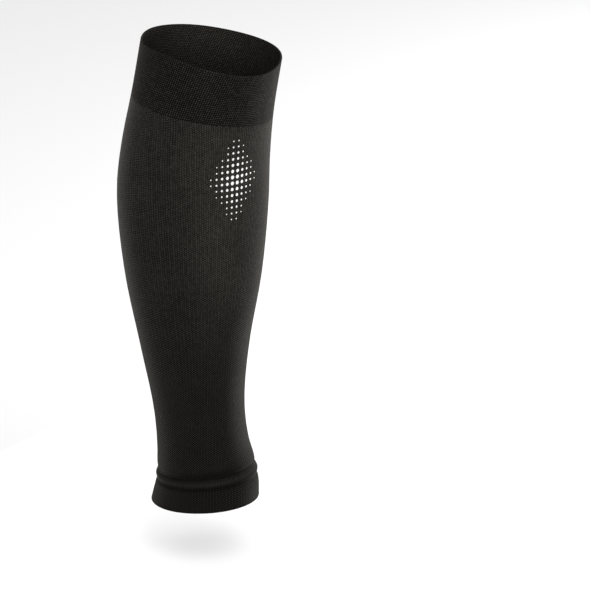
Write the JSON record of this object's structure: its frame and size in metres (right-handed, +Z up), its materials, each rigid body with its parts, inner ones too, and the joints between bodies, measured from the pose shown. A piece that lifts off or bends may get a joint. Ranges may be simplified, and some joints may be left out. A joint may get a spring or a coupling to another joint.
{
  "type": "calf compression sleeve",
  "caption": "Footless knitted sleeve for the calf, open at both ends: a fine-knit tube shaped to the leg, a denser band below the knee, and a turned ankle hem with a raised ridge.",
  "frame": {"origin": "middle of the hollow at the calf's fullest section, 239 mm above the ankle opening and 110 mm below the top opening", "axes": "+Z up the leg, -Y towards the shin, -X towards the outer side of a right leg"},
  "size_m": [0.1074, 0.1195, 0.3592],
  "materials": {
    "band_knit": "matt black micro-mesh knit with small light dots",
    "body_knit": "matt black fine elastic knit, a little sheen along its wales",
    "hem_knit": "matt black double knit with fine cross courses"
  },
  "bodies": {
    "root": {"top_band": "band_knit", "calf_body": "body_knit", "ankle_band": "hem_knit"}
  },
  "joints": []
}
